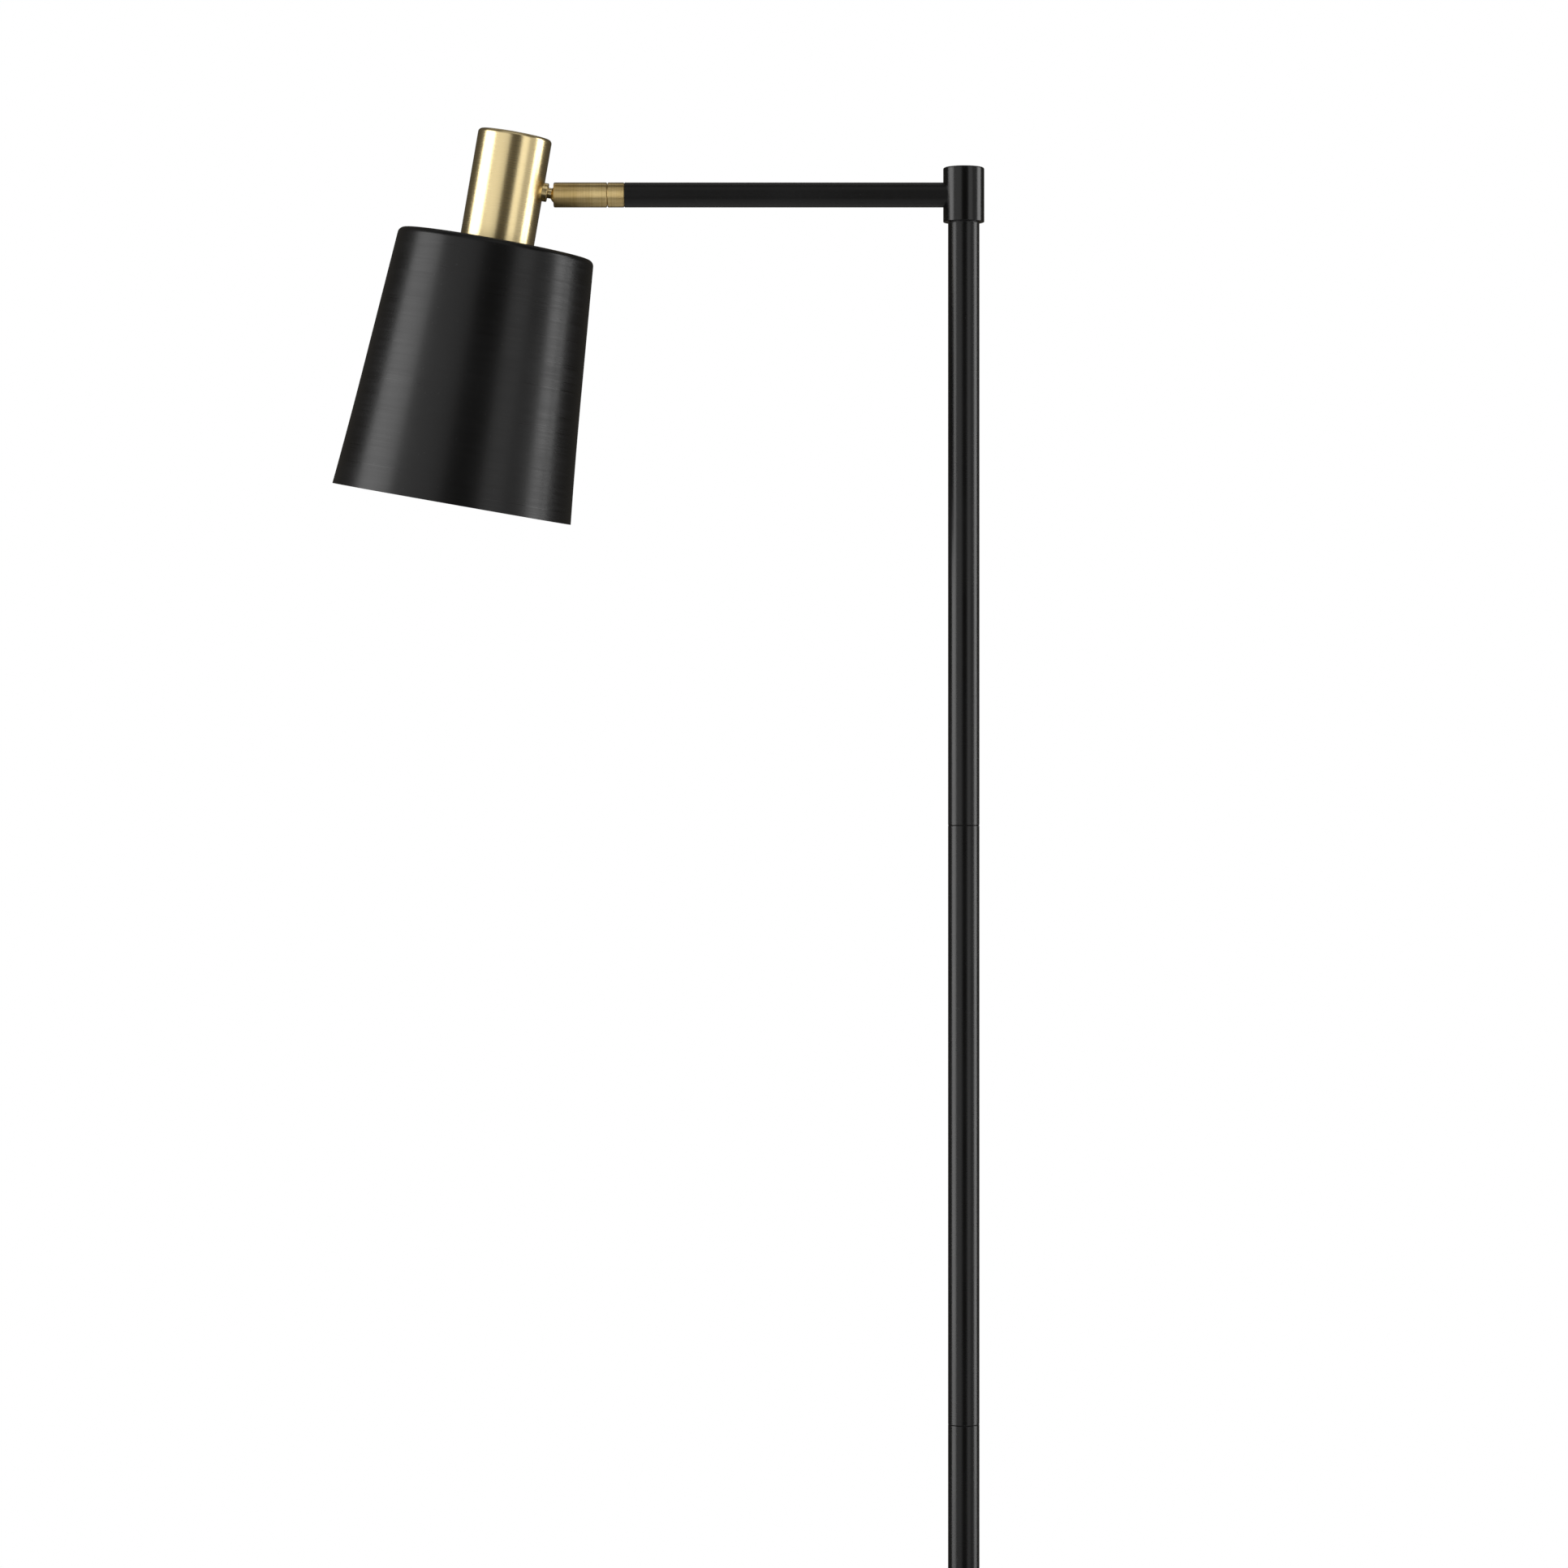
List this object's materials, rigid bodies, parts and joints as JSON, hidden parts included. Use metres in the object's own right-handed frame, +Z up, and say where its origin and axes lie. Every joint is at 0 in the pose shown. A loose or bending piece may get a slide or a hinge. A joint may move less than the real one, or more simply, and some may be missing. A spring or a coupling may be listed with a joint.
{
  "type": "adjustable arm floor lamp",
  "caption": "Floor lamp with round weighted base, slim pole, level swivelling side arm, ball-jointed brass socket cup and wide tapered shade that tilts.",
  "frame": {"origin": "centre of the base's underside, on the pole's axis", "axes": "+Z up the pole; at rest the arm runs from the pole to -X; +Y is the side the cord inlet is on"},
  "size_m": [0.5105, 0.2554, 1.5344],
  "materials": {
    "satin_black": "satin powder coat",
    "satin_brass": "satin turned",
    "dark_brass": "antiqued, fine turning marks",
    "plain_brass": "bright",
    "cast_iron": "as cast, painted",
    "zinc_steel": "zinc plated",
    "pad_rubber": "matte",
    "black_plastic": "matte",
    "nylon": "matte",
    "fibre": "vulcanised fibre",
    "lead_sheath": "soft sheath",
    "phenolic": "moulded",
    "bulb_metal": "rolled thread",
    "frosted_glass": "frosted"
  },
  "bodies": {
    "stand": {"base_cover": "satin_black", "base_weight": "cast_iron", "base_pad": "pad_rubber", "cord_grommet": "black_plastic", "base_nut": "zinc_steel", "base_washer": "zinc_steel", "foot_stud": "zinc_steel", "foot_plug": "zinc_steel", "pole_lower": "satin_black", "pole_lower_mid": "satin_black", "pole_upper_mid": "satin_black", "pole_upper": "satin_black", "pole_couplers": "zinc_steel", "pole_top_insert": "zinc_steel", "glide_washer": "black_plastic", "friction_washer": "fibre", "stop_washer": "zinc_steel", "spindle_nut": "zinc_steel", "swivel_spindle": "zinc_steel", "pole_lead": "lead_sheath"},
    "arm": {"collar": "satin_black", "collar_cap": "satin_black", "swivel_bush": "nylon", "stop_pin": "zinc_steel", "arm_tube": "satin_black", "arm_root_nipple": "zinc_steel", "arm_root_plug": "zinc_steel", "ferrule": "dark_brass", "swivel_shank": "dark_brass", "arm_lead": "lead_sheath"},
    "socket": {"socket_sleeve": "dark_brass", "retainer": "dark_brass", "ball_seat": "nylon", "spring_washers": "zinc_steel"},
    "head": {"ball_stud": "dark_brass", "neck_flange": "dark_brass", "stud_washer": "zinc_steel", "stud_nut": "zinc_steel", "cup": "satin_brass", "holder_bridge": "zinc_steel", "holder_nipple": "zinc_steel", "holder_nuts": "zinc_steel", "holder_body": "phenolic", "screw_shell": "plain_brass", "centre_contact": "plain_brass", "terminal_screws": "plain_brass", "shade_ring": "phenolic", "shade": "satin_black", "bulb_base": "bulb_metal", "bulb_glass": "frosted_glass", "head_lead": "lead_sheath"}
  },
  "joints": [
    {"name": "arm_swivel", "type": "hinge", "parent": "stand", "child": "arm", "pos_m": [0, 0, 1.494], "axis": [0, 0, 1], "range_deg": [-160, 160]},
    {"name": "head_roll", "type": "hinge", "parent": "arm", "child": "socket", "pos_m": [-0.232, 0, 1.494], "axis": [1, 0, 0], "range_deg": [-160, 160]},
    {"name": "head_tilt", "type": "hinge", "parent": "socket", "child": "head", "pos_m": [-0.245, 0, 1.494], "axis": [0, 0.9986, 0.0523], "range_deg": [-32, 12]}
  ]
}
